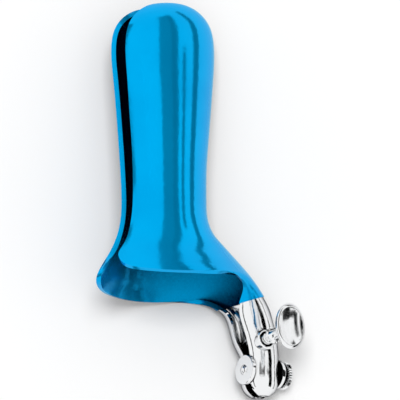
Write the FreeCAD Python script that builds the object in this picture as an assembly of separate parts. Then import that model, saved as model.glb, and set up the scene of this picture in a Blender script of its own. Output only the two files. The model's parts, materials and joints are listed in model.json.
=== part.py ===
import FreeCAD, Part
import math
import os
from FreeCAD import Placement, Rotation, Vector

# Bivalve speculum with a side handle and an insulating coat, in millimetres.
# Two valves of formed sheet steel face each other.  Each is one piece: a spoon-ended blade, a
# flared mouth, and a channel-shaped arm that leaves the handle side of the mouth.  The arms turn
# on a pin, clamped by a knurled nut.  A thumb screw in the front arm presses a swivel foot on a
# pad of the rear arm and so spreads the blades.
# The pieces are drawn in the instrument's own frame: +X to the handle side, +Y to the tips, +Z to
# the front valve, origin in the middle of the mouth.  They are then laid down on the rear valve.

# sheet and coat
steel_wall = 1.0            # sheet of both valves
coat_wall = 0.30            # coat on every coated face
coat_edge = 0.30            # coat past the edge of the sheet
coat_end = (28.6, -4.0)     # where the coat ends, at the left edge of the arm
coat_end_turn = 20.4        # degrees by which that end leans across the arm

# blades
tip_start = 81.8            # where a blade begins to round off
tip_length = 15.6           # length of the rounded tip
tip_lean = 4.5              # how much further the right side runs before it rounds off
tip_half_width = 18.0       # widest, where the tip begins
waist_half_width = 14.7     # narrowest, ahead of the mouth
waist_y = 31.0
blade_depth = 8.8           # rise of the back over the edges, at the tip
waist_depth = 8.0           # the same at the waist
mouth_depth = 15.4          # the same at the lip
blade_bow = 54.0            # half angle of the curved section, degrees

# arms
hinge_x = 40.6              # middle of the arms at the hinge
hinge_y = -25.7
arm_half_width = 5.7        # to the middle of the sheet
front_arm_depth = 3.3       # rise of the arm's back over its edges
rear_arm_depth = 6.0
arm_end = 8.7               # arm past the hinge axis

# clearance between the valves, from the middle plane to an edge
edge_at_tail = 1.45
edge_at_hinge = 1.35
edge_at_mouth = 2.5         # on the left
edge_at_root = 1.5          # on the right, where the arms begin
front_edge_at_tip = 2.6
rear_edge_at_tip = 5.4
waist_share = 0.3           # share of the rise from mouth to tip that is reached at the waist

# hinge
pin_radius = 2.0
running_gap = 0.05          # radial, between a shaft and its bore
disc_radius = 5.15
disc_wall = 1.3
disc_seat = 0.30            # how far a disc is let into the arms
seat_gap = 0.10             # between a disc and the arms, and round the disc
knuckle_radius = 2.8
knuckle_length = 3.6        # the front arm's knuckle, in the middle
side_gap = 0.20             # between knuckles, and from a knuckle to a wall
pin_chamfer = 0.4
disc_round = 0.35           # rounding of a disc's outer edge
dome_radius = 1.75          # rounded left end of the pin
dome_rise = 0.9
dome_root = 0.2             # how far the dome is let into the pin
washer_radius = 3.3
washer_wall = 0.5
nut_radius = 4.7
nut_wall = 1.9              # knurled rim
nut_hub_radius = 3.0
nut_hub_length = 1.1
knurl_count = 36
knurl_depth = 0.22
nut_chamfer = 0.3
pin_past_nut = 0.7

# thumb screw
screw_x = 38.4              # where its axis meets the face of the boss
screw_y = -15.5
screw_z = 6.6
screw_lean = 8.0            # degrees by which it leans to the tips
screw_radius = 1.95         # over the thread
boss_radius = 3.55
boss_depth = 3.0
boss_mouth_radius = 2.8
boss_mouth_depth = 0.9
boss_chamfer = 0.4
boss_countersink = 0.5
collar_start = 3.0          # collar, neck and plate, measured out from the boss
collar_length = 1.0
collar_radius = 2.9
collar_round = 0.3
neck_radius = 2.1
neck_start = 0.8            # where the straight neck begins and ends, past the collar
neck_end = 3.0
flare_start = 5.4           # where the neck begins to flare, past the collar
flare = (0.5, 1.6, 3.2)     # growth of the neck at the flare's start, throat and plate
throat = 0.9                # the throat's distance under the plate
thread_chamfer = 0.4
plate_start = 12.4
plate_wall = 1.7
plate_half_length = 8.4
plate_half_width = 6.0
plate_turn = -12.0          # degrees about the screw, at rest
dish_depth = 0.8
screw_below = 7.4           # end of the thread, measured in from the face of the boss
spigot_radius = 1.2
spigot_length = 1.2
shoe_radius = 2.6
shoe_floor = 0.4            # foot's wall past the end of the spigot
shoe_dome = 0.7             # rise of the foot's rounded face
shoe_gap = 0.3              # foot to pad at rest
pad_radius = 3.2

across = 10                 # spaces between the points across a section
end_turns = (0.0, 24.0, 45.0, 62.0, 75.0, 84.0)         # degrees round the end of a blade or arm
steepest_inset = 0.2        # least sine between a rung and its edge that an inset is worked out for
reach = 60.0                # longer than any cut needs to be


def between(points, at):
    """The smooth curve through a few (place, value) pairs, at one place."""
    if at <= points[0][0]:
        return points[0][1]
    if at >= points[-1][0]:
        return points[-1][1]
    slopes = []
    for i in range(len(points)):
        a, b = points[max(i - 1, 0)], points[min(i + 1, len(points) - 1)]
        slopes.append((b[1] - a[1]) / (b[0] - a[0]))
    for i in range(len(points) - 1):
        (x0, y0), (x1, y1) = points[i], points[i + 1]
        if at <= x1:
            h = x1 - x0
            t = (at - x0) / h
            return (y0 * (1 + 2 * t) * (1 - t) ** 2 + slopes[i] * h * t * (1 - t) ** 2
                    + y1 * t * t * (3 - 2 * t) - slopes[i + 1] * h * t * t * (1 - t))


# Plan of a valve, as rungs from its left edge to its right edge.  The last number is how much of
# the section is mouth and not arm.
blade_rungs = [
    ((-17.4, 70.0), (17.7, 74.0), 1.0),
    ((-16.2, 56.0), (16.5, 60.5), 1.0),
    ((-15.2, 43.0), (15.4, 50.0), 1.0),
    ((-14.7, 32.0), (14.9, 42.0), 1.0),
]
front_mouth = [
    ((-15.0, 22.5), (14.8, 35.0), 1.0),
    ((-16.4, 15.0), (14.9, 28.8), 1.0),
    ((-18.8, 9.6), (15.6, 23.4), 1.0),
    ((-21.0, 5.6), (17.9, 18.9), 1.0),
    ((-20.6, 2.0), (20.5, 16.4), 1.0),
    ((-16.5, 0.3), (23.0, 14.5), 1.0),
    ((-9.0, -0.2), (25.6, 12.6), 1.0),
    ((1.0, 0.4), (28.2, 10.6), 1.0),
    ((10.0, 1.5), (31.2, 8.2), 1.0),
    ((17.5, 2.6), (34.4, 5.5), 0.98),
    ((23.2, 2.5), (37.8, 2.2), 0.86),
    ((26.9, 0.6), (40.8, -1.4), 0.58),
    ((28.4, -2.3), (43.2, -5.1), 0.27),
    ((29.2, -5.0), (44.2, -8.4), 0.08),
]
rear_mouth = [
    ((-14.8, 22.5), (14.8, 35.0), 1.0),
    ((-16.7, 14.4), (14.9, 28.8), 1.0),
    ((-19.9, 7.6), (15.6, 23.4), 1.0),
    ((-23.9, 2.6), (17.9, 18.9), 1.0),
    ((-24.7, -1.2), (20.5, 16.4), 1.0),
    ((-19.7, -3.2), (23.0, 14.5), 1.0),
    ((-11.0, -3.5), (25.6, 12.6), 1.0),
    ((-1.0, -3.0), (28.2, 10.6), 1.0),
    ((9.0, -1.9), (31.4, 8.2), 1.0),
    ((18.0, -0.8), (34.7, 5.5), 0.98),
    ((23.6, -0.6), (38.2, 2.2), 0.88),
    ((26.6, -1.9), (41.4, -1.4), 0.62),
    ((28.0, -4.0), (43.7, -5.1), 0.32),
    ((28.6, -5.9), (44.8, -8.4), 0.10),
]
front_root = [
    ((30.2, -7.6), (45.1, -11.3), 0.0),
    ((31.9, -11.6), (45.9, -14.8), 0.0),
    ((33.6, -15.8), (46.3, -18.2), 0.0),
]
rear_root = [
    ((29.3, -8.2), (45.4, -11.3), 0.0),
    ((30.5, -12.0), (45.9, -14.8), 0.0),
    ((32.1, -16.2), (46.3, -18.2), 0.0),
]
arm_rungs = [
    ((hinge_x - arm_half_width, -20.8), (hinge_x + arm_half_width, -21.6), 0.0),
    ((hinge_x - arm_half_width, -25.2), (hinge_x + arm_half_width, -25.4), 0.0),
]

# The funnel that the mouths are cut from: its two sides and its depth, at places along the blade.
funnel_left = [(-8.0, -29.0), (-1.0, -25.4), (3.0, -22.9), (8.8, -19.5), (13.6, -17.0), (20.5, -15.1),
               (waist_y, -waist_half_width), (56.0, -16.2), (70.0, -17.4), (tip_start, -tip_half_width)]
funnel_right = [(-8.0, 44.4), (-1.4, 41.0), (2.2, 37.9), (5.5, 34.5), (8.2, 31.3), (12.6, 25.6), (16.4, 20.5),
                (18.9, 17.9), (23.4, 15.6), (28.8, 14.9), (35.0, 14.8), (42.0, 14.9), (60.5, 16.5),
                (74.0, 17.7), (tip_start + tip_lean, tip_half_width)]
funnel_depth = [(-5.0, mouth_depth + 1.2), (1.0, mouth_depth), (6.0, 13.2), (12.0, 10.4), (19.0, 8.7),
                (waist_y, waist_depth), (60.0, 8.5), (tip_start, blade_depth)]


def bowed(share, half_angle):
    """Height of a curved section over its edges, for a place from -1 to 1 across it."""
    top = math.radians(half_angle)
    lean = math.asin(max(-1.0, min(1.0, share)) * math.sin(top))
    return (math.cos(lean) - math.cos(top)) / (1 - math.cos(top))


def funnel(x, y):
    left, right = between(funnel_left, y), between(funnel_right, y)
    share = (2 * x - left - right) / (right - left)
    return between(funnel_depth, y) * bowed(share, blade_bow)


def edge_height(y, part, at_tip):
    """Height of the edges over the middle plane, part of the way from the left edge to the right."""
    at_mouth = edge_at_mouth + (edge_at_root - edge_at_mouth) * part
    at_waist = edge_at_mouth + (at_tip - edge_at_mouth) * waist_share
    places = [(hinge_y - arm_end, edge_at_tail), (hinge_y, edge_at_hinge), (0.0, at_mouth),
              (waist_y, at_waist), (tip_start + tip_length, at_tip)]
    return between(places, y)


def valve_points(plan, at_tip, arm_depth, inset):
    """Rows of points on the middle surface of a valve, from the tail of the arm to the tip."""
    turns = [math.radians(turn) for turn in end_turns]
    rows = []
    for turn in reversed(turns):
        half = (arm_half_width - inset) * math.cos(turn)
        start = hinge_y - arm_end + arm_half_width
        y = start - (arm_half_width - inset) * math.sin(turn)
        rows.append(((hinge_x - half, y), (hinge_x + half, y), 0.0, math.cos(turn) ** 0.8))
    rungs = blade_rungs + plan + arm_rungs
    for i in reversed(range(len(rungs))):
        left, right, share = rungs[i]
        above, below = rungs[max(i - 1, 0)], rungs[min(i + 1, len(rungs) - 1)]
        run = Vector(right[0] - left[0], right[1] - left[1], 0).normalize()
        ends = []
        for side, corner, way in ((0, left, inset), (1, right, -inset)):
            edge = Vector(above[side][0] - below[side][0], above[side][1] - below[side][1], 0).normalize()
            step = run * (way / max(abs(run.cross(edge).z), steepest_inset))
            ends.append((corner[0] + step.x, corner[1] + step.y))
        rows.append((ends[0], ends[1], share, 1.0))
    for turn in turns:
        half = (tip_half_width - inset) * math.cos(turn)
        y = tip_start + (tip_length - inset) * math.sin(turn)
        rows.append(((-half, y), (half, y + tip_lean * math.cos(turn)), 1.0, math.cos(turn) ** 1.3))
    grid = []
    for left, right, share, rise in rows:
        line = []
        for step in range(across + 1):
            lean = math.pi * (step / across - 0.5)
            part = (1 + math.sin(lean)) / 2
            x = left[0] + (right[0] - left[0]) * part
            y = left[1] + (right[1] - left[1]) * part
            if rise < 1.0 and share == 1.0:
                height = blade_depth * rise * bowed(math.sin(lean), blade_bow)
            elif rise < 1.0:
                height = arm_depth * rise * math.cos(lean)
            else:
                height = share * funnel(x, y) + (1 - share) * arm_depth * math.cos(lean)
            line.append(Vector(x, y, edge_height(y, part, at_tip) + height))
        grid.append(line)
    return grid


def normals(grid):
    rows, columns = len(grid), len(grid[0])
    out = []
    for i in range(rows):
        line = []
        for j in range(columns):
            along = grid[min(i + 1, rows - 1)][j] - grid[max(i - 1, 0)][j]
            side = grid[i][min(j + 1, columns - 1)] - grid[i][max(j - 1, 0)]
            line.append(side.cross(along).normalize())
        out.append(line)
    return out


def skin(grid):
    surface = Part.BSplineSurface()
    surface.interpolate(grid)
    return surface


def sheet(grid, thickness):
    """A closed solid of even thickness about the middle surface through a grid of points."""
    lean = normals(grid)
    surfaces = []
    for way in (0.5, -0.5):
        moved = [[p + n * (way * thickness) for p, n in zip(line, up)] for line, up in zip(grid, lean)]
        surfaces.append(skin(moved))
    faces = [surface.toShape() for surface in surfaces]
    u0, u1, v0, v1 = surfaces[0].bounds()
    for over, under in (
        (surfaces[0].uIso(u0), surfaces[1].uIso(u0)), (surfaces[0].uIso(u1), surfaces[1].uIso(u1)),
        (surfaces[0].vIso(v0), surfaces[1].vIso(v0)), (surfaces[0].vIso(v1), surfaces[1].vIso(v1)),
    ):
        faces.append(Part.makeRuledSurface(over.toShape(), under.toShape()))
    shell = Part.Shell(Part.makeShell(faces).Faces)
    shell.sewShape()
    solid = Part.Solid(shell)
    if solid.Volume < 0:
        solid.reverse()
    return solid


def along_x(radius, start, end, y=hinge_y, z=0.0):
    return Part.makeCylinder(radius, end - start, Vector(start, y, z), Vector(1, 0, 0))


def on_screw():
    """Placement of a piece drawn about +Z, on the screw's axis, with z = 0 at the boss face."""
    return Placement(Vector(screw_x, screw_y, screw_z), Rotation(Vector(1, 0, 0), -screw_lean))


def placed(shape, placement):
    return shape.transformed(placement.toMatrix(), copy=True)


def flip(shape):
    return shape.mirror(Vector(0, 0, 0), Vector(0, 0, 1))


def revolved(profile):
    """A solid of revolution about Z from (radius, height) corners."""
    wire = Part.makePolygon([Vector(r, 0, z) for r, z in profile + profile[:1]])
    return Part.Face(wire).revolve(Vector(0, 0, 0), Vector(0, 0, 1), 360)


def coated_side():
    """Everything on the blade side of the line where the coat ends."""
    block = Part.makeBox(4 * reach, 4 * reach, 2 * reach, Vector(-2 * reach, 0, -reach))
    turn = Rotation(Vector(0, 0, 1), coat_end_turn)
    block.Placement = Placement(Vector(coat_end[0], coat_end[1], 0), turn)
    return block


left_wall = hinge_x - arm_half_width - steel_wall / 2
right_wall = hinge_x + arm_half_width + steel_wall / 2
left_face = left_wall + disc_seat - disc_wall
right_face = right_wall - disc_seat + disc_wall
nut_start = right_face + washer_wall
nut_face = nut_start + nut_hub_length + nut_wall
pin_end = nut_face + pin_past_nut
tall = 12.0                 # taller than the knuckles' feet need to be
slant = 0.75                # share of the sheet that lies under its middle surface, on its slope


def hinge_clearance():
    """What the pin and the two discs take out of both arms."""
    notch = along_x(pin_radius + 2 * seat_gap, left_face, right_face)
    seat_radius = disc_radius + 2 * seat_gap
    left = along_x(seat_radius, left_face - reach, left_wall + disc_seat + seat_gap)
    right = along_x(seat_radius, right_wall - disc_seat - seat_gap, right_face + reach)
    return notch, left, right


def faces_and_end(shape):
    """The faces of a sheet up to the line where the coat ends, and its end face on that line."""
    line = Rotation(Vector(0, 0, 1), coat_end_turn).multVec(Vector(0, 1, 0))
    level = line.dot(Vector(coat_end[0], coat_end[1], 0))
    kept = shape.common(coated_side()).Faces
    end = min(kept, key=lambda face: abs(face.CenterOfMass.dot(line) - level))
    return [face for face in kept if not face.isSame(end)], end


def hollow(cover, core):
    """The coat: what a cover holds over a core that runs on past the line where the coat ends."""
    outside, outer_end = faces_and_end(cover)
    inside, inner_end = faces_and_end(core)
    shell = Part.makeShell(outside + [face.reversed() for face in inside] + outer_end.cut(inner_end).Faces)
    shell.sewShape()
    return Part.Solid(shell)


def valve(plan, at_tip, depth):
    """Steel sheet and coat of a valve, drawn as the front one."""
    steel = sheet(valve_points(plan, at_tip, depth, coat_edge), steel_wall)
    cover = sheet(valve_points(plan, at_tip, depth, 0.0), steel_wall + 2 * coat_wall)
    coat = hollow(cover, steel)
    for tool in hinge_clearance():
        steel = steel.cut(tool)
    return steel, coat


def knuckle(start, end):
    """A barrel on the hinge pin with a foot up to the back of the front arm."""
    barrel = along_x(knuckle_radius, start, end)
    foot = Part.makeBox(end - start, 2 * knuckle_radius, tall, Vector(start, hinge_y - knuckle_radius, 0))
    return barrel.fuse(foot).cut(along_x(pin_radius + running_gap, start - 1, end + 1))


def inner_part(shape, sheet_steel):
    """The piece of a foot that lies inside the arm, seated on the sheet."""
    return min(shape.cut(sheet_steel).Solids, key=lambda solid: abs(solid.CenterOfMass.z))


def hinge_pin():
    body = along_x(pin_radius, left_face, pin_end - pin_chamfer)
    dome_ball = (dome_radius ** 2 + dome_rise ** 2) / (2 * dome_rise)
    centre = Vector(left_face - dome_rise + dome_ball, hinge_y, 0)
    ball = Part.makeSphere(dome_ball, centre)
    dome = ball.common(along_x(dome_radius, left_face - dome_rise, left_face + dome_root))
    end = Part.makeCone(pin_radius, pin_radius - pin_chamfer, pin_chamfer,
                        Vector(pin_end - pin_chamfer, hinge_y, 0), Vector(1, 0, 0))
    return body.fuse([dome, end]).removeSplitter()


def hinge_disc(start, end, outer):
    disc = along_x(disc_radius, start, end)
    rim = [edge for edge in disc.Edges if abs(edge.BoundBox.XMin - outer) < 1e-6
           and abs(edge.BoundBox.XMax - outer) < 1e-6]
    disc = disc.makeFillet(disc_round, rim)
    return disc.cut(along_x(pin_radius, start - 1, end + 1))


def lock_nut():
    hub = along_x(nut_hub_radius, nut_start, nut_start + nut_hub_length)
    rim = along_x(nut_radius, nut_start + nut_hub_length, nut_face)
    edges = [edge for edge in rim.Edges if edge.BoundBox.XLength < 1e-6]
    rim = rim.makeChamfer(nut_chamfer, edges)
    grooves = []
    groove_radius = math.pi * nut_radius / knurl_count * 0.5
    for step in range(knurl_count):
        turn = 2 * math.pi * step / knurl_count
        away = nut_radius + groove_radius - knurl_depth
        grooves.append(along_x(groove_radius, nut_start + nut_hub_length - 1, nut_face + 1,
                               hinge_y + away * math.cos(turn), away * math.sin(turn)))
    rim = rim.cut(grooves)
    return rim.fuse(hub).cut(along_x(pin_radius + running_gap, nut_start - 1, nut_face + 1))


def screw_boss():
    ring = revolved([(screw_radius + running_gap, -boss_depth), (boss_radius, -boss_depth),
                     (boss_radius, -boss_chamfer), (boss_radius - boss_chamfer, 0.0), (boss_mouth_radius, 0.0),
                     (boss_mouth_radius, -boss_mouth_depth),
                     (screw_radius + running_gap, -boss_mouth_depth - boss_countersink)])
    return placed(ring, on_screw())


def thumb_screw():
    collar_end = collar_start + collar_length
    shape = revolved([(0, -screw_below - spigot_length), (spigot_radius, -screw_below - spigot_length),
                      (spigot_radius, -screw_below), (screw_radius - thread_chamfer, -screw_below),
                      (screw_radius, -screw_below + thread_chamfer), (screw_radius, collar_start),
                      (collar_radius - collar_round, collar_start), (collar_radius, collar_start + collar_round),
                      (collar_radius, collar_end - collar_round), (neck_radius + collar_round, collar_end),
                      (neck_radius, collar_end + neck_start), (neck_radius, collar_end + neck_end),
                      (neck_radius + flare[0], collar_end + flare_start),
                      (neck_radius + flare[1], plate_start - throat),
                      (neck_radius + flare[2], plate_start), (0, plate_start)])
    return placed(shape, on_screw())


def thumb_plate():
    """An oval dish with a round edge, turned round and then drawn out along one axis."""
    edge = plate_half_width - plate_wall / 2
    low, high, floor = plate_start, plate_start + plate_wall, plate_start + plate_wall - dish_depth
    side = Vector(plate_half_width, 0, plate_start + plate_wall / 2)
    curve = Vector(edge / 2, 0, floor + dish_depth / 4)
    outline = Part.Wire([
        Part.LineSegment(Vector(0, 0, low), Vector(edge, 0, low)).toShape(),
        Part.Arc(Vector(edge, 0, low), side, Vector(edge, 0, high)).toShape(),
        Part.Arc(Vector(edge, 0, high), curve, Vector(0, 0, floor)).toShape(),
        Part.LineSegment(Vector(0, 0, floor), Vector(0, 0, low)).toShape(),
    ])
    shape = Part.Face(outline).revolve(Vector(0, 0, 0), Vector(0, 0, 1), 360)
    stretch = FreeCAD.Matrix()
    stretch.scale(1.0, plate_half_length / plate_half_width, 1.0)
    turned = Placement(Vector(0, 0, 0), Rotation(Vector(0, 0, 1), plate_turn))
    return placed(shape.transformGeometry(stretch), on_screw().multiply(turned))


shoe_end = screw_below + spigot_length + shoe_floor + running_gap   # foot's face, in from the boss face


def screw_shoe():
    """A domed foot, free to turn on the spigot of the screw."""
    top = -screw_below - running_gap
    rim = -shoe_end + shoe_dome
    socket = -screw_below - spigot_length - running_gap
    bore = spigot_radius + running_gap
    ball = (shoe_radius ** 2 + shoe_dome ** 2) / (2 * shoe_dome)
    lean = math.asin(shoe_radius / ball) / 2
    side = Vector(ball * math.sin(lean), 0, -shoe_end + ball * (1 - math.cos(lean)))
    corners = [Vector(shoe_radius, 0, rim), Vector(shoe_radius, 0, top), Vector(bore, 0, top),
               Vector(bore, 0, socket), Vector(0, 0, socket), Vector(0, 0, -shoe_end)]
    dome = Part.Arc(Vector(0, 0, -shoe_end), side, corners[0]).toShape()
    outline = Part.Wire([dome] + Part.makePolygon(corners).Edges)
    return placed(Part.Face(outline).revolve(Vector(0, 0, 0), Vector(0, 0, 1), 360), on_screw())


def shoe_pad(rear_steel):
    """A post in the rear arm for the foot to press on."""
    post = Part.makeCylinder(pad_radius, tall, Vector(0, 0, -shoe_end - shoe_gap - tall))
    return inner_part(placed(post, on_screw()), rear_steel)


def build():
    front_steel, front_coat = valve(front_mouth + front_root, front_edge_at_tip, front_arm_depth)
    rear_steel, rear_coat = (flip(shape) for shape in valve(rear_mouth + rear_root, rear_edge_at_tip,
                                                            rear_arm_depth))
    boss_core = placed(Part.makeCylinder(boss_radius, 3 * boss_depth, Vector(0, 0, -2 * boss_depth)), on_screw())
    inside = knuckle_length / 2
    front_knuckle = inner_part(knuckle(hinge_x - inside, hinge_x + inside), front_steel)
    under = (knuckle_radius + side_gap + slant * steel_wall - edge_at_hinge) / front_arm_depth
    room = arm_half_width * math.sqrt(1 - under ** 2)
    rear_knuckles = []
    for start, end in ((hinge_x - room, hinge_x - inside - side_gap),
                       (hinge_x + inside + side_gap, hinge_x + room)):
        rear_knuckles.append(inner_part(flip(knuckle(start, end)), rear_steel))
    return {
        "front_valve": front_steel.cut(boss_core),
        "front_coating": front_coat,
        "rear_valve": rear_steel,
        "rear_coating": rear_coat,
        "front_knuckle": front_knuckle,
        "left_rear_knuckle": rear_knuckles[0],
        "right_rear_knuckle": rear_knuckles[1],
        "hinge_pin": hinge_pin(),
        "left_hinge_disc": hinge_disc(left_face, left_wall + disc_seat, left_face),
        "right_hinge_disc": hinge_disc(right_wall - disc_seat, right_face, right_face),
        "lock_washer": along_x(washer_radius, right_face, nut_start).cut(
            along_x(pin_radius + running_gap, right_face - 1, nut_start + 1)),
        "lock_nut": lock_nut(),
        "screw_boss": screw_boss(),
        "thumb_screw": thumb_screw(),
        "thumb_plate": thumb_plate(),
        "screw_shoe": screw_shoe(),
        "shoe_pad": shoe_pad(rear_steel),
    }


def resting(parts):
    """The placement that lays the instrument down on its tip, its lip and its nut."""
    coat = parts["rear_coating"].tessellate(0.05)[0]
    groups = [[point for point in coat if point.y > waist_y], [point for point in coat if point.y < waist_y],
              parts["lock_nut"].tessellate(0.05)[0]]
    up = Vector(0, 0, 1)
    for again in range(12):
        tip, lip, nut = (min(group, key=lambda point: point.dot(up)) for group in groups)
        up = (nut - lip).cross(tip - lip).normalize()
    roll = Rotation(Vector(0, 1, 0), math.degrees(math.atan2(-up.x, up.z)))
    rolled = roll.multVec(up)
    pitch = Rotation(Vector(1, 0, 0), math.degrees(math.atan2(rolled.y, rolled.z)))
    turn = pitch.multiply(roll)
    whole = Part.makeCompound([placed(shape, Placement(Vector(0, 0, 0), turn)) for shape in parts.values()])
    box = whole.optimalBoundingBox(True, False)
    middle = Vector((box.XMin + box.XMax) / 2, (box.YMin + box.YMax) / 2, box.ZMin)
    return Placement(middle.negative(), turn)


def main():
    os.makedirs("parts", exist_ok=True)
    parts = build()
    laid = resting(parts)
    for name, shape in parts.items():
        placed(shape, laid).exportStep("parts/" + name + ".step")


main()
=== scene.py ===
# Side-handled speculum with insulated blades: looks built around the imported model.
import bpy
import bmesh
import json
from math import cos, radians, sin, tau
from mathutils import Matrix, Vector

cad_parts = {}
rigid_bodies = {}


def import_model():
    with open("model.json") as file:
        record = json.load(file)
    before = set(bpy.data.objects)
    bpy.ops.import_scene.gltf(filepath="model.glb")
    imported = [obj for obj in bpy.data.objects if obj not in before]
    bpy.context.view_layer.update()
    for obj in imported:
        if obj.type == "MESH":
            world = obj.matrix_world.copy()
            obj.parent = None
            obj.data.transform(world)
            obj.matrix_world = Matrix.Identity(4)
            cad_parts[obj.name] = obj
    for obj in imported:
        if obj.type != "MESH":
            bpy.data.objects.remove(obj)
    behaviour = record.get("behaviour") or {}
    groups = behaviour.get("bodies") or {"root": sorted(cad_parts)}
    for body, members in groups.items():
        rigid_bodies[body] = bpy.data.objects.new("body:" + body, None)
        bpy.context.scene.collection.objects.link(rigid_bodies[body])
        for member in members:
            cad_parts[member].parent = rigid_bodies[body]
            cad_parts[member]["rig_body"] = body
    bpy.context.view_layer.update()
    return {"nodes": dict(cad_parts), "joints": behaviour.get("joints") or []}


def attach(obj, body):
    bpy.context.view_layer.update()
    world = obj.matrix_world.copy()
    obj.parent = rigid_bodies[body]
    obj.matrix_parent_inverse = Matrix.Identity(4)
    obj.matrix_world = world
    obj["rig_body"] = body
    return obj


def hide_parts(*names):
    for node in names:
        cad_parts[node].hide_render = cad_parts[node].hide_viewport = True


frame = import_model()
scene = bpy.context.scene
nodes = frame["nodes"]
joints = {joint["name"]: joint for joint in frame["joints"]}
mm = 0.001
mergeWithin = 0.002 * mm                              # doubles closer than this are one point
print("frame loaded:", len(nodes), "nodes")

# The instrument's own axes, read from its joints: across to the handle, along to the tips, out of the front valve
instrument = dict(screwLean=radians(8.0), hingeAcross=40.6 * mm, hingeAlong=-25.7 * mm)

across = Vector(joints["blade_opening"]["axis"]).normalized()
screwOut = -Vector(joints["screw_advance"]["axis"]).normalized()
sideways = screwOut.cross(across)
along = (sideways * cos(instrument["screwLean"]) + screwOut * sin(instrument["screwLean"])).normalized()
outward = across.cross(along)
hingePoint = Vector(joints["blade_opening"]["pos_m"])
mouthPoint = hingePoint - across * instrument["hingeAcross"] - along * instrument["hingeAlong"]


# A direction or offset given in the instrument's axes
def inRow(x, y, z):
    return across * x + along * y + outward * z


# The matrix that stands a piece turned about Z on an axis, with its X along side
def standOn(origin, axis, side):
    z = axis.normalized()
    x = (side - z * side.dot(z)).normalized()
    place = Matrix((x, z.cross(x), z)).transposed().to_4x4()
    place.translation = origin
    return place


screwPlace = standOn(Vector(joints["thumb_screw_turn"]["pos_m"]), screwOut, across)
hingePlace = standOn(hingePoint, across, outward)


# Lowest and highest corner of a CAD node, measured in the axes of a place
def localBox(node, place):
    back = place.inverted()
    points = [back @ v.co for v in nodes[node].data.vertices]
    low = Vector([min(p[i] for p in points) for i in range(3)])
    high = Vector([max(p[i] for p in points) for i in range(3)])
    return low, high


# Material building
def addNode(tree, kind, at=(0, 0), **values):
    node = tree.nodes.new(kind)
    node.location = at
    for name, value in values.items():
        setattr(node, name, value)
    return node


# A named value of a node's input, or a link into it
def feed(tree, node, name, source):
    socket = node.inputs[name]
    if isinstance(source, bpy.types.NodeSocket):
        tree.links.new(source, socket)
    else:
        socket.default_value = source


# Fine lines that polishing leaves along one direction, and smudges that dull it in places
polish = dict(lineScale=900.0, lineDetail=3.0, lineDepth=0.02 * mm, smudgeScale=160.0, smudgeDetail=4.0,
              smudgeFrom=0.35, smudgeTo=0.75, smudgeRoughness=0.10)


def makePolishGroup():
    tree = bpy.data.node_groups.new("polishLines", "ShaderNodeTree")
    for name, kind, way in (("Stretch", "NodeSocketVector", "INPUT"), ("Depth", "NodeSocketFloat", "INPUT"),
                            ("Base Roughness", "NodeSocketFloat", "INPUT"),
                            ("Roughness", "NodeSocketFloat", "OUTPUT"), ("Normal", "NodeSocketVector", "OUTPUT")):
        tree.interface.new_socket(name, in_out=way, socket_type=kind)
    start = addNode(tree, "NodeGroupInput", (-900, 0))
    end = addNode(tree, "NodeGroupOutput", (500, 0))
    place = addNode(tree, "ShaderNodeTexCoord", (-900, 300))
    stretch = addNode(tree, "ShaderNodeMapping", (-500, 200))
    feed(tree, stretch, "Vector", place.outputs["Object"])
    feed(tree, stretch, "Scale", start.outputs["Stretch"])
    fine = addNode(tree, "ShaderNodeTexNoise", (-300, 300))
    feed(tree, fine, "Vector", stretch.outputs["Vector"])
    feed(tree, fine, "Scale", polish["lineScale"])
    feed(tree, fine, "Detail", polish["lineDetail"])
    smudge = addNode(tree, "ShaderNodeTexNoise", (-300, 0))
    feed(tree, smudge, "Vector", place.outputs["Object"])
    feed(tree, smudge, "Scale", polish["smudgeScale"])
    feed(tree, smudge, "Detail", polish["smudgeDetail"])
    spread = addNode(tree, "ShaderNodeMapRange", (-100, 0))
    feed(tree, spread, "Value", smudge.outputs["Fac"])
    feed(tree, spread, "From Min", polish["smudgeFrom"])
    feed(tree, spread, "From Max", polish["smudgeTo"])
    feed(tree, spread, "To Max", polish["smudgeRoughness"])
    total = addNode(tree, "ShaderNodeMath", (100, 0), operation="ADD")
    tree.links.new(start.outputs["Base Roughness"], total.inputs[0])
    tree.links.new(spread.outputs["Result"], total.inputs[1])
    bump = addNode(tree, "ShaderNodeBump", (200, 300))
    feed(tree, bump, "Strength", start.outputs["Depth"])
    feed(tree, bump, "Distance", polish["lineDepth"])
    feed(tree, bump, "Height", fine.outputs["Fac"])
    tree.links.new(total.outputs[0], end.inputs["Roughness"])
    tree.links.new(bump.outputs["Normal"], end.inputs["Normal"])
    return tree


# Sprayed coat: orange peel, with a slow drift of the pigment and of the gloss
spray = dict(peelDetail=2.0, peelRise=0.08 * mm, driftScale=45.0, driftDetail=5.0, driftFrom=0.35, driftTo=0.70,
             glossiest=0.09, dullest=0.17)


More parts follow.
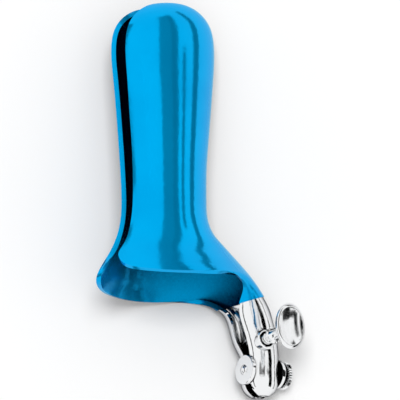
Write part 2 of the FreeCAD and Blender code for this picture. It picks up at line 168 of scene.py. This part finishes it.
def makeCoatGroup():
    tree = bpy.data.node_groups.new("sprayedCoat", "ShaderNodeTree")
    for name, kind, way in (("Colour", "NodeSocketColor", "INPUT"), ("Deep Colour", "NodeSocketColor", "INPUT"),
                            ("Peel Scale", "NodeSocketFloat", "INPUT"), ("Peel Depth", "NodeSocketFloat", "INPUT"),
                            ("Base Color", "NodeSocketColor", "OUTPUT"), ("Roughness", "NodeSocketFloat", "OUTPUT"),
                            ("Normal", "NodeSocketVector", "OUTPUT")):
        tree.interface.new_socket(name, in_out=way, socket_type=kind)
    start = addNode(tree, "NodeGroupInput", (-900, 0))
    end = addNode(tree, "NodeGroupOutput", (500, 0))
    place = addNode(tree, "ShaderNodeTexCoord", (-900, 300))
    peel = addNode(tree, "ShaderNodeTexNoise", (-500, 300))
    feed(tree, peel, "Vector", place.outputs["Object"])
    feed(tree, peel, "Scale", start.outputs["Peel Scale"])
    feed(tree, peel, "Detail", spray["peelDetail"])
    drift = addNode(tree, "ShaderNodeTexNoise", (-500, 0))
    feed(tree, drift, "Vector", place.outputs["Object"])
    feed(tree, drift, "Scale", spray["driftScale"])
    feed(tree, drift, "Detail", spray["driftDetail"])
    depth = addNode(tree, "ShaderNodeMapRange", (-300, 0))
    feed(tree, depth, "Value", drift.outputs["Fac"])
    feed(tree, depth, "From Min", spray["driftFrom"])
    feed(tree, depth, "From Max", spray["driftTo"])
    colour = addNode(tree, "ShaderNodeMix", (-100, 0), data_type="RGBA")
    tree.links.new(depth.outputs["Result"], colour.inputs[0])
    tree.links.new(start.outputs["Colour"], colour.inputs[6])
    tree.links.new(start.outputs["Deep Colour"], colour.inputs[7])
    gloss = addNode(tree, "ShaderNodeMapRange", (-100, -200))
    feed(tree, gloss, "Value", drift.outputs["Fac"])
    feed(tree, gloss, "To Min", spray["glossiest"])
    feed(tree, gloss, "To Max", spray["dullest"])
    bump = addNode(tree, "ShaderNodeBump", (200, 300))
    feed(tree, bump, "Strength", start.outputs["Peel Depth"])
    feed(tree, bump, "Distance", spray["peelRise"])
    feed(tree, bump, "Height", peel.outputs["Fac"])
    tree.links.new(colour.outputs[2], end.inputs["Base Color"])
    tree.links.new(gloss.outputs["Result"], end.inputs["Roughness"])
    tree.links.new(bump.outputs["Normal"], end.inputs["Normal"])
    return tree


# hollow and crease: reach, then the shares of openness that are all painted shade and all colour; the coat's colour
# goes to its painted shade, near black navy, deep in hollows and in creases
coatPaint = dict(colour=(0.0, 0.43, 0.88, 1.0), deep=(0.0, 0.38, 0.81, 1.0), shade=(0.0, 0.003, 0.022, 1.0),
                 hollow=(36 * mm, 0.36, 0.88), crease=(1.6 * mm, 0.35, 0.90), peelScale=700.0, peelDepth=0.25,
                 metallic=0.62, specular=0.25, edge=(0.0, 0.70, 0.90, 1.0))
# For the steel, shade is a painted shade for its creases, and edge is a dark tint of its reflections at grazing angles
# that paints shade lines along rounded edges
polishedSteel = dict(colour=(0.88, 0.89, 0.90, 1.0), shade=(0.010, 0.010, 0.012, 1.0), edge=(0.03, 0.03, 0.035, 1.0),
                     roughness=0.07)


def newMaterial(name):
    material = bpy.data.materials.new(name)
    material.use_nodes = True
    tree = material.node_tree
    tree.nodes.clear()
    out = addNode(tree, "ShaderNodeOutputMaterial", (600, 0))
    shader = addNode(tree, "ShaderNodeBsdfPrincipled", (300, 0))
    tree.links.new(shader.outputs[0], out.inputs[0])
    return material, tree, shader


# How open a point is to its surroundings within reach: 0 deep in a hollow, 1 in the open; it masks the painted shade
def openness(tree, reach, low, high, at):
    hollow = addNode(tree, "ShaderNodeAmbientOcclusion", at, samples=8)
    feed(tree, hollow, "Distance", reach)
    share = addNode(tree, "ShaderNodeMapRange", (at[0] + 180, at[1]), interpolation_type="SMOOTHSTEP")
    feed(tree, share, "Value", hollow.outputs["AO"])
    feed(tree, share, "From Min", low)
    feed(tree, share, "From Max", high)
    return share.outputs["Result"]


# The colour of a surface, going to a painted shade by a share from 0 to 1
def withPaintedShade(tree, shade, colour, share, at):
    tone = addNode(tree, "ShaderNodeMix", at, data_type="RGBA")
    tree.links.new(share, tone.inputs[0])
    tone.inputs[6].default_value = shade
    if isinstance(colour, bpy.types.NodeSocket):
        tree.links.new(colour, tone.inputs[7])
    else:
        tone.inputs[7].default_value = colour
    return tone.outputs[2]


coatGroup = makeCoatGroup()
polishGroup = makePolishGroup()


def makeCoatMaterial():
    material, tree, shader = newMaterial("blueCoat")
    effect = addNode(tree, "ShaderNodeGroup", (0, 0), node_tree=coatGroup)
    effect.inputs["Colour"].default_value = coatPaint["colour"]
    effect.inputs["Deep Colour"].default_value = coatPaint["deep"]
    effect.inputs["Peel Scale"].default_value = coatPaint["peelScale"]
    effect.inputs["Peel Depth"].default_value = coatPaint["peelDepth"]
    # Painted shade: the coat's colour goes to near black navy deep in hollows and in creases
    depth = openness(tree, *coatPaint["hollow"], (-600, 500))
    crease = openness(tree, *coatPaint["crease"], (-600, 300))
    tone = withPaintedShade(tree, coatPaint["shade"], effect.outputs["Base Color"], crease, (-100, 300))
    feed(tree, shader, "Base Color", withPaintedShade(tree, coatPaint["shade"], tone, depth, (100, 300)))
    feed(tree, shader, "Roughness", effect.outputs["Roughness"])
    feed(tree, shader, "Normal", effect.outputs["Normal"])
    feed(tree, shader, "Metallic", coatPaint["metallic"])
    # Painted shade on the polish: deep in hollows the coat reflects less, and its reflections go to near black navy
    shadedSpecular = addNode(tree, "ShaderNodeMath", (100, 600), operation="MULTIPLY")
    tree.links.new(depth, shadedSpecular.inputs[0])
    shadedSpecular.inputs[1].default_value = coatPaint["specular"]
    feed(tree, shader, "Specular IOR Level", shadedSpecular.outputs[0])
    feed(tree, shader, "Specular Tint", withPaintedShade(tree, coatPaint["shade"], coatPaint["edge"], depth, (100, 450)))
    return material


# stretch is how fine the lines are along each axis, crease the reach and shares of its hollows with painted shade
def makeSteelMaterial(name, stretch, depth, crease):
    material, tree, shader = newMaterial(name)
    effect = addNode(tree, "ShaderNodeGroup", (0, 0), node_tree=polishGroup)
    effect.inputs["Stretch"].default_value = stretch
    effect.inputs["Depth"].default_value = depth
    effect.inputs["Base Roughness"].default_value = polishedSteel["roughness"]
    # Painted shade: the steel's colour goes near black in creases and hollows
    light = openness(tree, *crease, (-600, 300))
    feed(tree, shader, "Base Color", withPaintedShade(tree, polishedSteel["shade"], polishedSteel["colour"], light, (0, 300)))
    # Painted shade: the dark edge tint darkens reflections at grazing angles into lines along rounded edges
    feed(tree, shader, "Specular Tint", polishedSteel["edge"])
    feed(tree, shader, "Metallic", 1.0)
    feed(tree, shader, "Roughness", effect.outputs["Roughness"])
    feed(tree, shader, "Normal", effect.outputs["Normal"])
    return material


blueCoat = makeCoatMaterial()
formedSteel = makeSteelMaterial("formedSteel", stretch=(1.0, 0.04, 1.0), depth=0.25, crease=(10 * mm, 0.32, 0.72))
turnedSteel = makeSteelMaterial("turnedSteel", stretch=(1.0, 1.0, 1.0), depth=0.12, crease=(5 * mm, 0.30, 0.76))
print("materials made")


# Pieces, shaded smooth up to an angle between faces in degrees
smoothUpTo = dict(sheet=40.0, turned=35.0, cut=30.0)


def setOut(name, bm, material, body, replaced, smooth):
    limit = radians(smoothUpTo[smooth])
    for face in bm.faces:
        face.smooth = True
    for edge in bm.edges:
        edge.smooth = len(edge.link_faces) == 2 and edge.calc_face_angle(0.0) < limit
    mesh = bpy.data.meshes.new(name)
    bm.to_mesh(mesh)
    bm.free()
    mesh.materials.append(material)
    piece = bpy.data.objects.new(name, mesh)
    scene.collection.objects.link(piece)
    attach(piece, body)
    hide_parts(replaced)
    return piece


# A merged, smoothly shaded copy of a CAD node
def smoothCopy(node, name, material, body, smooth="turned"):
    bm = bmesh.new()
    bm.from_mesh(nodes[node].data)
    bmesh.ops.remove_doubles(bm, verts=bm.verts, dist=mergeWithin)
    return setOut(name, bm, material, body, node, smooth)


# A closed piece turned about Z from (radius, height) corners
def turnedPiece(profile, steps):
    bm = bmesh.new()
    points = [bm.verts.new((r, 0, z)) for r, z in profile]
    edges = [bm.edges.new(pair) for pair in zip(points, points[1:])]
    bmesh.ops.spin(bm, geom=points + edges, axis=(0, 0, 1), cent=(0, 0, 0), steps=steps, angle=tau, use_merge=True)
    bmesh.ops.remove_doubles(bm, verts=bm.verts, dist=mergeWithin)
    bmesh.ops.recalc_face_normals(bm, faces=bm.faces)
    return bm


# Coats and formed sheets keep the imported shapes, merged and smoothly shaded
for side in ("front", "rear"):
    smoothCopy(side + "_coating", side + "Coat", blueCoat, side, "sheet")
    smoothCopy(side + "_valve", side + "Valve", formedSteel, side, "sheet")
for node in ("front_knuckle", "left_rear_knuckle", "right_rear_knuckle", "shoe_pad"):
    smoothCopy(node, node + "Part", turnedSteel, nodes[node]["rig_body"])
print("sheets and coats dressed")

# Hinge
for node in ("left_hinge_disc", "right_hinge_disc", "lock_washer", "hinge_pin"):
    smoothCopy(node, node + "Part", turnedSteel, nodes[node]["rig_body"])

# Knurled nut: straight flutes round its rim, chamfered faces, a plain hub
lockNut = dict(bore=2.05 * mm, boreMouth=0.5 * mm, boreMouthDepth=0.4 * mm, flutes=30, facesPerFlute=4,
               fluteDepth=0.42 * mm, chamfer=0.3 * mm, hubRatio=0.64, hubLength=1.1 * mm, rimWithin=0.01 * mm)


def makeLockNut():
    low, high = localBox("lock_nut", hingePlace)
    bore, radius, start, end = lockNut["bore"], high.x, low.z, high.z
    step = start + lockNut["hubLength"]
    hub = radius * lockNut["hubRatio"]
    inner = radius - lockNut["fluteDepth"]
    bm = turnedPiece([(bore, start), (hub, start), (hub, step), (inner - lockNut["chamfer"], step),
                      (inner, step + lockNut["chamfer"]), (inner, end - lockNut["chamfer"]),
                      (inner - lockNut["chamfer"], end), (bore + lockNut["boreMouth"], end),
                      (bore, end - lockNut["boreMouthDepth"]), (bore, start)],
                     lockNut["flutes"] * lockNut["facesPerFlute"])
    for v in bm.verts:                                # every flute's middle stands out to the full radius
        reach = Vector((v.co.x, v.co.y)).length
        if reach > inner - lockNut["rimWithin"]:
            turn = Vector((v.co.x, v.co.y)).angle_signed(Vector((1, 0)), 0.0) / tau * lockNut["flutes"]
            rise = 0.5 + 0.5 * cos(tau * turn)
            v.co.x *= 1 + rise * lockNut["fluteDepth"] / reach
            v.co.y *= 1 + rise * lockNut["fluteDepth"] / reach
    bmesh.ops.transform(bm, matrix=hingePlace, verts=bm.verts)
    return setOut("knurledNut", bm, turnedSteel, "lock_nut", "lock_nut", "cut")


makeLockNut()
print("hinge made")

# Thumb screw: a V thread on the rod, a collar and a neck that flares to the plate
rod = dict(radius=1.95 * mm, spigot=1.2 * mm, spigotLength=1.2 * mm, chamfer=0.15 * mm, collarStart=3.0 * mm,
           collarEnd=4.0 * mm, collar=2.9 * mm, round=0.3 * mm, neck=2.1 * mm, neckStart=4.8 * mm,
           flareStart=6.2 * mm, flareGrowth=3.2 * mm, flarePower=3.4, flareSteps=14, facesRound=72)
thread = dict(pitch=1.0 * mm, depth=0.36 * mm, foot=0.92 * mm, crest=0.14 * mm, sunk=0.02 * mm, stepsPerTurn=48)


def makeThumbScrew():
    low, high = localBox("thumb_screw", screwPlace)
    bottom, top = low.z, high.z
    start = bottom + rod["spigotLength"]
    core = rod["radius"] - thread["depth"]
    profile = [(0, bottom), (rod["spigot"] - rod["chamfer"], bottom), (rod["spigot"], bottom + rod["chamfer"]),
               (rod["spigot"], start), (core, start), (core, rod["collarStart"]),
               (rod["collar"] - rod["round"], rod["collarStart"]),
               (rod["collar"], rod["collarStart"] + rod["round"]), (rod["collar"], rod["collarEnd"] - rod["round"]),
               (rod["neck"] + rod["round"], rod["collarEnd"]), (rod["neck"], rod["neckStart"])]
    for step in range(rod["flareSteps"] + 1):
        share = step / rod["flareSteps"]
        profile.append((rod["neck"] + rod["flareGrowth"] * share ** rod["flarePower"],
                        rod["flareStart"] + (top - rod["flareStart"]) * share))
    profile.append((0, top))
    bm = turnedPiece(profile, rod["facesRound"])
    rise = rod["collarStart"] - start - thread["foot"]
    steps = int(thread["stepsPerTurn"] * rise / thread["pitch"])
    inner, middle = core - thread["sunk"], start + thread["foot"] / 2
    ridge = [bm.verts.new((r, 0, z)) for r, z in (
        (inner, start), (rod["radius"], middle - thread["crest"] / 2),
        (rod["radius"], middle + thread["crest"] / 2), (inner, start + thread["foot"]))]
    bmesh.ops.spin(bm, geom=[bm.faces.new(ridge)], axis=(0, 0, 1), steps=steps,
                   angle=tau * rise / thread["pitch"], dvec=(0, 0, rise / steps))
    bmesh.ops.recalc_face_normals(bm, faces=bm.faces)
    bmesh.ops.transform(bm, matrix=screwPlace, verts=bm.verts)
    return setOut("thumbScrewRod", bm, turnedSteel, "thumb_screw", "thumb_screw", "cut")


makeThumbScrew()
for node in ("screw_boss", "thumb_plate", "screw_shoe"):
    smoothCopy(node, node + "Part", turnedSteel, nodes[node]["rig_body"])
print("thumb screw made")

# Camera: a long lens at the photograph's angle
view = dict(across=12.07 * mm, up=28.03 * mm, width=135.6 * mm, away=1.6, toward=(-0.568, -0.259, 0.781),
            right=(0.809, 0.0, 0.588), filmWidth=36.0, clipEnd=20.0)
toCamera = inRow(*view["toward"]).normalized()
cameraRight = inRow(*view["right"])
cameraRight = (cameraRight - toCamera * cameraRight.dot(toCamera)).normalized()
cameraUp = toCamera.cross(cameraRight)
target = mouthPoint + cameraRight * view["across"] + cameraUp * view["up"]
lens = bpy.data.cameras.new("camera")
lens.sensor_width = view["filmWidth"]
lens.lens = lens.sensor_width * view["away"] / view["width"]
lens.clip_end = view["clipEnd"]
camera = bpy.data.objects.new("camera", lens)
scene.collection.objects.link(camera)
camera.matrix_world = standOn(target + toCamera * view["away"], toCamera, cameraRight)
scene.camera = camera

# Floor and world: both white to the eye and in the polish, and calmer as a light on the piece
floorPaint = dict(colour=(1.0, 1.0, 1.0, 1.0), roughness=1.0, specular=0.0, reach=3.0)
floorMaterial, floorTree, floorShader = newMaterial("paleFloor")
feed(floorTree, floorShader, "Base Color", floorPaint["colour"])
feed(floorTree, floorShader, "Roughness", floorPaint["roughness"])
feed(floorTree, floorShader, "Specular IOR Level", floorPaint["specular"])
bm = bmesh.new()
bmesh.ops.create_grid(bm, x_segments=1, y_segments=1, size=floorPaint["reach"])
floorMesh = bpy.data.meshes.new("floor")
bm.to_mesh(floorMesh)
bm.free()
floorMesh.materials.append(floorMaterial)
floor = bpy.data.objects.new("floor", floorMesh)
scene.collection.objects.link(floor)

studio = dict(light=0.60, background=1.0, lampUp=3.0, lampShift=(-0.6, 0.5, 0.0), lampSize=1.2, lampPower=50.0)
world = bpy.data.worlds.new("studio")
scene.world = world
world.use_nodes = True
tree = world.node_tree
tree.nodes.clear()
worldOut = addNode(tree, "ShaderNodeOutputWorld", (600, 0))
lightPath = addNode(tree, "ShaderNodeLightPath", (-600, 200))
seen = addNode(tree, "ShaderNodeMath", (-300, 200), operation="ADD", use_clamp=True)
through = addNode(tree, "ShaderNodeMath", (-100, 200), operation="ADD", use_clamp=True)
tree.links.new(lightPath.outputs["Is Camera Ray"], seen.inputs[0])
tree.links.new(lightPath.outputs["Is Glossy Ray"], seen.inputs[1])
tree.links.new(seen.outputs[0], through.inputs[0])
tree.links.new(lightPath.outputs["Is Transmission Ray"], through.inputs[1])
strength = addNode(tree, "ShaderNodeMix", (100, 100), data_type="FLOAT")
tree.links.new(through.outputs[0], strength.inputs[0])
strength.inputs[2].default_value = studio["light"]
strength.inputs[3].default_value = studio["background"]
sky = addNode(tree, "ShaderNodeBackground", (350, 0))
feed(tree, sky, "Color", (1.0, 1.0, 1.0, 1.0))
feed(tree, sky, "Strength", strength.outputs[0])
tree.links.new(sky.outputs[0], worldOut.inputs[0])


def makeKeyLamp():
    place = target + Vector((0, 0, studio["lampUp"])) + inRow(*studio["lampShift"])
    lamp = bpy.data.lights.new("keyLamp", "AREA")
    lamp.shape = "SQUARE"
    lamp.size = studio["lampSize"]
    lamp.energy = studio["lampPower"]
    holder = bpy.data.objects.new("keyLamp", lamp)
    scene.collection.objects.link(holder)
    holder.matrix_world = standOn(place, (place - target).normalized(), along)
    holder.visible_glossy = False


makeKeyLamp()

# Dark cards beside the piece: only the polish sees them, as the dark streaks of a studio picture
cards = {
    "flankCard": dict(aim=(0, 45, 8), toward=(0.85, 0.0, 0.525), away=105, width=24, length=275, shift=132, shade=0.0),
    "streakCard": dict(aim=(0, 45, 8), toward=(0.85, 0.0, 0.525), away=105, width=24, length=58, shift=-62,
                       shade=0.0),
    "bandCard": dict(aim=(0, 45, 8), toward=(0.06, 0.0, 1.0), away=300, width=190, length=620, shift=300,
                     shade=0.14),
    "bandEdgeCard": dict(aim=(0, 45, 8), toward=(0.24, 0.0, 0.97), away=290, width=60, length=620, shift=300,
                         shade=0.0),
    "leftCard": dict(aim=(0, 45, 8), toward=(-0.98, 0.0, 0.18), away=300, width=90, length=800, shift=0, shade=0.0),
    "armCard": dict(aim=(40, -18, 10), toward=(0.55, 0.0, 0.83), away=300, width=110, length=36, shift=80, shade=0.0),
    "armEdgeCard": dict(aim=(40, -18, 10), toward=(0.928, 0.0, 0.269), away=105, width=24, length=120, shift=20,
                        shade=0.0),
    "plateCard": dict(aim=(42, -14, 20), toward=(0.406, 0.0, 0.914), away=200, width=30, length=110, shift=104,
                      shade=0.0),
    "discCard": dict(aim=(28, -26, 0), toward=(-0.60, -0.60, -0.53), away=60, width=22, length=60, shift=0,
                     shade=0.0),
}


# A card across the direction toward, out from the point aim and shifted along the instrument, all in millimetres
def makeCard(name, aim, toward, away, width, length, shift, shade):
    bm = bmesh.new()
    bmesh.ops.create_grid(bm, x_segments=1, y_segments=1, size=0.5)
    out = inRow(*toward).normalized()
    side = along.cross(out)
    place = Matrix((side * width * mm, along * length * mm, out)).transposed().to_4x4()
    place.translation = mouthPoint + inRow(*aim) * mm + along * shift * mm + out * away * mm
    bmesh.ops.transform(bm, matrix=place, verts=bm.verts)
    mesh = bpy.data.meshes.new(name)
    bm.to_mesh(mesh)
    bm.free()
    material = bpy.data.materials.new(name)
    material.use_nodes = True
    nodeTree = material.node_tree
    nodeTree.nodes.clear()
    glow = addNode(nodeTree, "ShaderNodeEmission")
    feed(nodeTree, glow, "Color", (shade, shade, shade, 1.0))
    nodeTree.links.new(glow.outputs[0], addNode(nodeTree, "ShaderNodeOutputMaterial", (200, 0)).inputs[0])
    mesh.materials.append(material)
    card = bpy.data.objects.new(name, mesh)
    scene.collection.objects.link(card)
    card.visible_camera = card.visible_diffuse = card.visible_shadow = card.visible_transmission = False


for name, card in cards.items():
    makeCard(name, **card)

scene.view_settings.view_transform = "Standard"
print("stage set")
